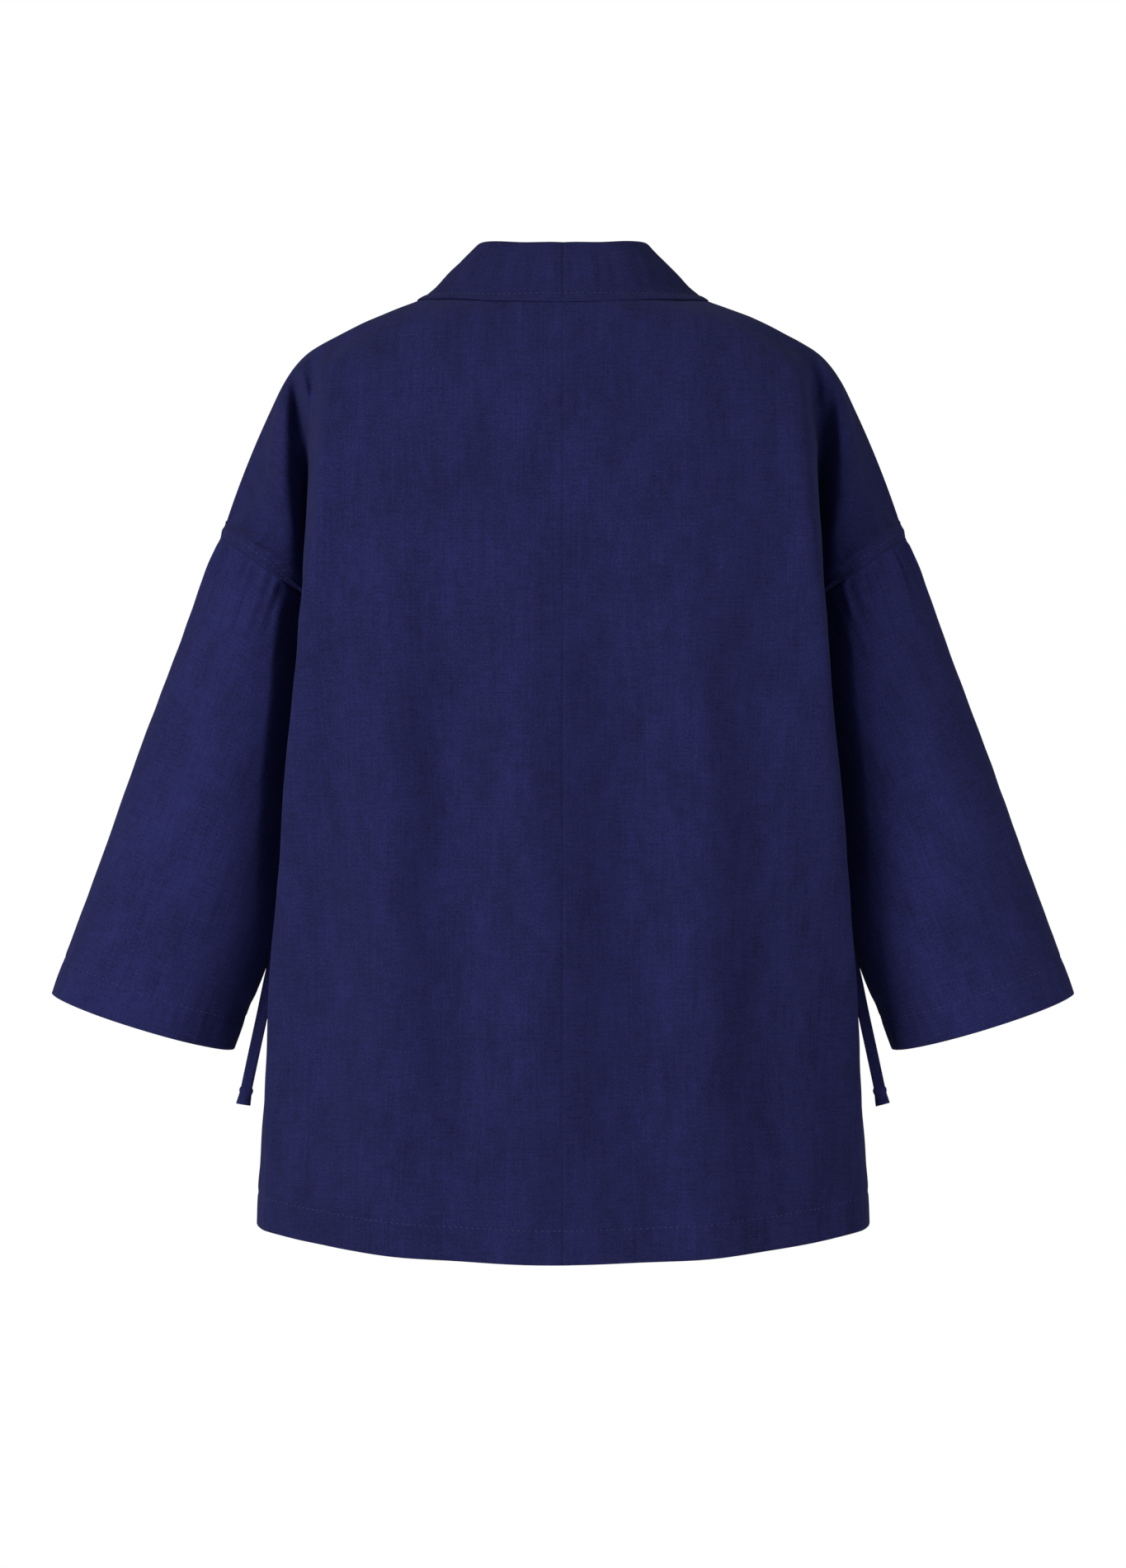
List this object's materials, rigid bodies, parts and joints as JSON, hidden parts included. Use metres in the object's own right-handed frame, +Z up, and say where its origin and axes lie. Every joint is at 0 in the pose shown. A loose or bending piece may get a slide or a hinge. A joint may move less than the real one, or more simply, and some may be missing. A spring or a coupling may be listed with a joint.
{
  "type": "kimono jacket",
  "caption": "Short kimono jacket of indigo slub cotton in its worn, hollow form, with a doubled collar band, wide straight sleeves and knotted side ties.",
  "frame": {"origin": "in the middle of the neck opening, level with the two points where the collar band crosses the shoulder seams", "axes": "+Z up, +X towards the wearer's left, -Y the way the wearer faces"},
  "size_m": [0.77, 0.2991, 0.7409],
  "materials": {
    "back_left": "matt indigo slub cotton, plain weave",
    "back_right": "matt indigo slub cotton, plain weave",
    "front_left": "matt indigo slub cotton, plain weave",
    "front_right": "matt indigo slub cotton, plain weave",
    "sleeve_left": "matt indigo slub cotton, plain weave",
    "sleeve_right": "matt indigo slub cotton, plain weave",
    "collar_left": "matt indigo slub cotton, doubled and topstitched",
    "collar_right": "matt indigo slub cotton, doubled and topstitched",
    "tie_left": "narrow folded tape of the same cotton",
    "tie_right": "narrow folded tape of the same cotton",
    "tie_knot_left": "the same tape, knotted",
    "tie_knot_right": "the same tape, knotted"
  },
  "bodies": {
    "root": {"back_left": "back_left", "back_right": "back_right", "front_left": "front_left", "front_right": "front_right", "sleeve_left": "sleeve_left", "sleeve_right": "sleeve_right", "collar_left": "collar_left", "collar_right": "collar_right", "tie_left": "tie_left", "tie_right": "tie_right", "tie_knot_left": "tie_knot_left", "tie_knot_right": "tie_knot_right"}
  },
  "joints": []
}
